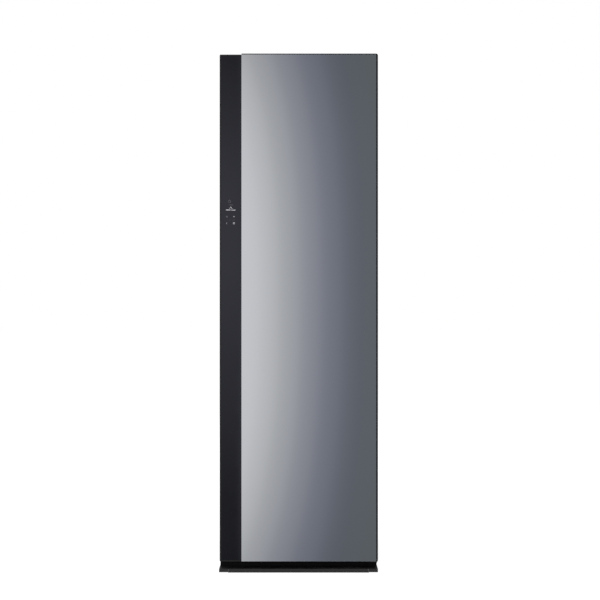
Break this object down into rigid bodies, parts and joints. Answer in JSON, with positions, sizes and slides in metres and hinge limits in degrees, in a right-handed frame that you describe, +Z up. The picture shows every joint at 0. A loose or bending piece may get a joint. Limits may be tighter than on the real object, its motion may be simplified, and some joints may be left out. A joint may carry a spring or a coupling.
{
  "type": "clothes care steam cabinet",
  "caption": "Tall insulated cabinet with a hinged mirror door, a slim touch strip, a moving hanger bar, a trouser press, water tanks and a heat pump below.",
  "frame": {"origin": "middle of the footprint, on the floor under the feet", "axes": "+X to the right as seen from the front, the door faces -Y, +Z up"},
  "size_m": [0.6, 0.596, 1.96],
  "materials": {
    "mirror_glass": "silvered glass",
    "black_glass": "gloss black back-printed glass",
    "bezel_black": "satin black",
    "strip_black": "satin black",
    "frame_grey": "satin dark grey",
    "foam": "foam",
    "liner_white": "semi-gloss white",
    "gasket_rubber": "matt",
    "nylon": "matt",
    "press_white": "fine texture",
    "press_plate_grey": "fine texture",
    "latch_grey": "matt",
    "pan_steel": "satin black",
    "plinth_grey": "satin dark grey",
    "foot_plastic": "matt",
    "panel_steel": "satin dark grey",
    "back_steel": "galvanised",
    "cover_plastic": "matt",
    "lens": "frosted",
    "grille_grey": "satin",
    "filter_grey": "matt",
    "bar_metal": "satin anodised",
    "drive_brass": "machined",
    "motor_metal": "satin",
    "tank_plastic": "translucent smoke",
    "compressor_black": "gloss black",
    "coil_aluminium": "bare fins",
    "boiler_steel": "brushed",
    "circuit": "circuit board"
  },
  "bodies": {
    "cabinet": {"base_pan": "pan_steel", "plinth_front": "plinth_grey", "corner_cap_left": "plinth_grey", "corner_cap_right": "plinth_grey", "hinge_upper": "pan_steel", "hinge_lower": "pan_steel", "side_panel_left": "panel_steel", "side_panel_right": "panel_steel", "top_panel": "panel_steel", "back_panel": "back_steel", "front_header": "panel_steel", "front_sill": "pan_steel", "rear_cover": "cover_plastic", "cord_gland": "cover_plastic", "insulation": "foam", "chamber_side_left": "liner_white", "chamber_side_right": "liner_white", "chamber_back": "liner_white", "chamber_ceiling": "liner_white", "chamber_floor": "liner_white", "tank_bay": "liner_white", "duct_cover": "liner_white", "lamp_lens": "lens", "steam_grille": "grille_grey", "bar_guides": "latch_grey", "drive_motor": "motor_metal", "compressor": "compressor_black", "evaporator": "coil_aluminium", "condenser": "coil_aluminium", "blower_housing": "cover_plastic", "steam_generator": "boiler_steel", "water_pump": "latch_grey"},
    "door": {"door_mirror": "mirror_glass", "mirror_bezel": "bezel_black", "control_glass": "black_glass", "strip_tray": "strip_black", "display_module": "circuit", "door_frame": "frame_grey", "door_core": "foam", "door_liner": "liner_white", "door_gasket": "gasket_rubber", "grip_insert": "frame_grey", "hinge_bush_upper": "nylon", "hinge_bush_lower": "nylon", "press_base": "press_white"},
    "press_plate": {"press_plate": "press_plate_grey"},
    "press_latch": {"press_latch": "latch_grey"},
    "hem_clip": {"hem_clip": "press_plate_grey"},
    "foot_front_left": {"foot_front_left": "foot_plastic"},
    "foot_front_right": {"foot_front_right": "foot_plastic"},
    "foot_rear_left": {"foot_rear_left": "foot_plastic"},
    "foot_rear_right": {"foot_rear_right": "foot_plastic"},
    "shelf": {"shelf": "grille_grey"},
    "lint_filter": {"lint_filter": "filter_grey"},
    "aroma_case": {"aroma_case": "filter_grey"},
    "hanger_bar": {"hanger_bar": "bar_metal"},
    "crank_disc": {"crank_disc": "drive_brass"},
    "supply_tank": {"supply_tank": "tank_plastic"},
    "drain_tank": {"drain_tank": "tank_plastic"},
    "blower_wheel": {"blower_wheel": "latch_grey"}
  },
  "joints": [
    {"name": "door_swing", "type": "hinge", "parent": "cabinet", "child": "door", "pos_m": [0.29, -0.262, 0.038], "axis": [0, 0, 1], "range_deg": [0, 120]},
    {"name": "press_plate_swing", "type": "hinge", "parent": "door", "child": "press_plate", "pos_m": [0.205, -0.216, 1.06], "axis": [0, 0, -1], "range_deg": [0, 90]},
    {"name": "press_latch_turn", "type": "hinge", "parent": "press_plate", "child": "press_latch", "pos_m": [-0.1765, -0.21, 1.06], "axis": [0, -1, 0], "range_deg": [0, 90]},
    {"name": "hem_clip_swing", "type": "hinge", "parent": "door", "child": "hem_clip", "pos_m": [0, -0.224, 1.556], "axis": [1, 0, 0], "range_deg": [0, 35]},
    {"name": "shelf_lift", "type": "slide", "parent": "cabinet", "child": "shelf", "axis": [0, 0, 1], "range_m": [0, 0.06]},
    {"name": "lint_filter_lift", "type": "slide", "parent": "cabinet", "child": "lint_filter", "axis": [0, 0, 1], "range_m": [0, 0.08]},
    {"name": "aroma_case_lift", "type": "slide", "parent": "cabinet", "child": "aroma_case", "axis": [0, 0, 1], "range_m": [0, 0.045]},
    {"name": "hanger_shake", "type": "slide", "parent": "cabinet", "child": "hanger_bar", "axis": [1, 0, 0], "range_m": [-0.02, 0.02]},
    {"name": "crank_spin", "type": "hinge", "parent": "cabinet", "child": "crank_disc", "pos_m": [0, 0.06, 1.85], "axis": [0, 0, 1], "continuous": true},
    {"name": "supply_tank_pull", "type": "slide", "parent": "cabinet", "child": "supply_tank", "axis": [0, -1, 0], "range_m": [0, 0.024]},
    {"name": "drain_tank_pull", "type": "slide", "parent": "cabinet", "child": "drain_tank", "axis": [0, -1, 0], "range_m": [0, 0.024]},
    {"name": "blower_spin", "type": "hinge", "parent": "cabinet", "child": "blower_wheel", "pos_m": [-0.1525, 0.182, 0.143], "axis": [0, 1, 0], "continuous": true},
    {"name": "foot_front_left_turn", "type": "hinge", "parent": "cabinet", "child": "foot_front_left", "pos_m": [-0.245, -0.206, 0.01], "axis": [0, 0, 1], "continuous": true},
    {"name": "foot_front_right_turn", "type": "hinge", "parent": "cabinet", "child": "foot_front_right", "pos_m": [0.245, -0.206, 0.01], "axis": [0, 0, 1], "continuous": true},
    {"name": "foot_rear_left_turn", "type": "hinge", "parent": "cabinet", "child": "foot_rear_left", "pos_m": [-0.245, 0.258, 0.01], "axis": [0, 0, 1], "continuous": true},
    {"name": "foot_rear_right_turn", "type": "hinge", "parent": "cabinet", "child": "foot_rear_right", "pos_m": [0.245, 0.258, 0.01], "axis": [0, 0, 1], "continuous": true}
  ]
}
